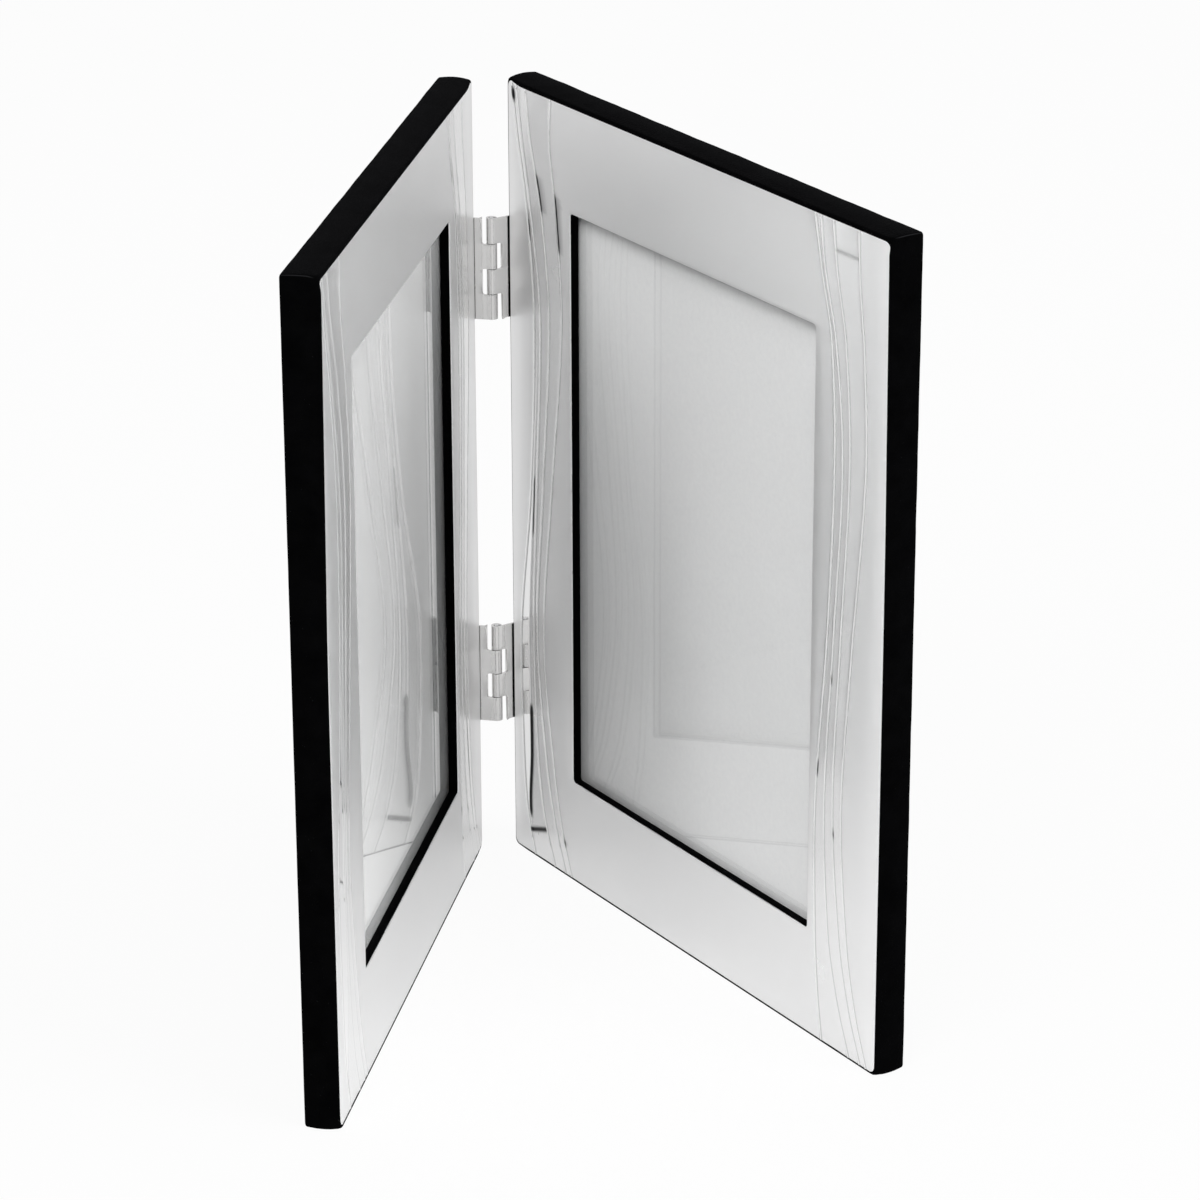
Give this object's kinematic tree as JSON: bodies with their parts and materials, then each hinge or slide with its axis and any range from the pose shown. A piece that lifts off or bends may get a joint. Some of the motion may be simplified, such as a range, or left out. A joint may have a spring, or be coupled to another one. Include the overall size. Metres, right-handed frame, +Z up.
{
  "type": "double photo frame",
  "caption": "Hinged double photo frame that stands as an open V, with relief metal fronts, glazed windows, velvet-covered bodies and removable backs.",
  "frame": {"origin": "middle of the footprint, on the surface the frame stands on, at rest as an open V", "axes": "+Z up along the panels' height; the V opens towards -Y; X=0 runs through the hinge pins"},
  "size_m": [0.1354, 0.1408, 0.197],
  "materials": {
    "silver_plate": "polished silver plate",
    "velvet": "black velvet nap",
    "fibreboard": "raw fibreboard",
    "clear_glass": "clear float glass",
    "card": "matt printed card",
    "hardboard": "pressed hardboard",
    "back_velvet": "black velvet nap",
    "button_nickel": "bright nickel",
    "screw_steel": "bright nickel",
    "screw_nickel": "bright nickel",
    "hinge_nickel": "polished nickel",
    "pin_steel": "polished steel"
  },
  "bodies": {
    "left_panel": {"left_front_plate": "silver_plate", "left_velvet_wrap": "velvet", "left_frame_core": "fibreboard", "left_glass": "clear_glass", "left_insert_card": "card", "left_backing_board": "hardboard", "left_backing_velvet": "back_velvet", "left_turn_button_screws": "screw_steel", "left_hinge_screws": "screw_nickel", "upper_hinge_left_leaf": "hinge_nickel", "upper_hinge_pin": "pin_steel", "lower_hinge_left_leaf": "hinge_nickel", "lower_hinge_pin": "pin_steel"},
    "right_panel": {"right_front_plate": "silver_plate", "right_velvet_wrap": "velvet", "right_frame_core": "fibreboard", "right_glass": "clear_glass", "right_insert_card": "card", "right_backing_board": "hardboard", "right_backing_velvet": "back_velvet", "right_turn_button_screws": "screw_steel", "right_hinge_screws": "screw_nickel", "upper_hinge_right_leaf": "hinge_nickel", "lower_hinge_right_leaf": "hinge_nickel"},
    "left_turn_button_top": {"left_turn_button_top": "button_nickel"},
    "left_turn_button_bottom": {"left_turn_button_bottom": "button_nickel"},
    "left_turn_button_inner": {"left_turn_button_inner": "button_nickel"},
    "left_turn_button_outer": {"left_turn_button_outer": "button_nickel"},
    "right_turn_button_top": {"right_turn_button_top": "button_nickel"},
    "right_turn_button_bottom": {"right_turn_button_bottom": "button_nickel"},
    "right_turn_button_inner": {"right_turn_button_inner": "button_nickel"},
    "right_turn_button_outer": {"right_turn_button_outer": "button_nickel"}
  },
  "joints": [
    {"name": "fold", "type": "hinge", "parent": "left_panel", "child": "right_panel", "pos_m": [0, 0.06702, 0.0985], "axis": [0, 0, 1], "range_deg": [-46.5, 142]},
    {"name": "left_turn_button_top_turn", "type": "hinge", "parent": "left_panel", "child": "left_turn_button_top", "pos_m": [-0.04033, 0.00161, 0.1833], "axis": [-0.9255, 0.3786, 0], "continuous": true},
    {"name": "left_turn_button_bottom_turn", "type": "hinge", "parent": "left_panel", "child": "left_turn_button_bottom", "pos_m": [-0.04033, 0.00161, 0.0137], "axis": [-0.9255, 0.3786, 0], "continuous": true},
    {"name": "left_turn_button_inner_turn", "type": "hinge", "parent": "left_panel", "child": "left_turn_button_inner", "pos_m": [-0.01768, 0.05696, 0.0985], "axis": [-0.9255, 0.3786, 0], "continuous": true},
    {"name": "left_turn_button_outer_turn", "type": "hinge", "parent": "left_panel", "child": "left_turn_button_outer", "pos_m": [-0.06297, -0.05373, 0.0985], "axis": [-0.9255, 0.3786, 0], "continuous": true},
    {"name": "right_turn_button_top_turn", "type": "hinge", "parent": "right_panel", "child": "right_turn_button_top", "pos_m": [0.04033, 0.00161, 0.1833], "axis": [0.9255, 0.3786, 0], "continuous": true},
    {"name": "right_turn_button_bottom_turn", "type": "hinge", "parent": "right_panel", "child": "right_turn_button_bottom", "pos_m": [0.04033, 0.00161, 0.0137], "axis": [0.9255, 0.3786, 0], "continuous": true},
    {"name": "right_turn_button_inner_turn", "type": "hinge", "parent": "right_panel", "child": "right_turn_button_inner", "pos_m": [0.01768, 0.05696, 0.0985], "axis": [0.9255, 0.3786, 0], "continuous": true},
    {"name": "right_turn_button_outer_turn", "type": "hinge", "parent": "right_panel", "child": "right_turn_button_outer", "pos_m": [0.06297, -0.05373, 0.0985], "axis": [0.9255, 0.3786, 0], "continuous": true}
  ]
}
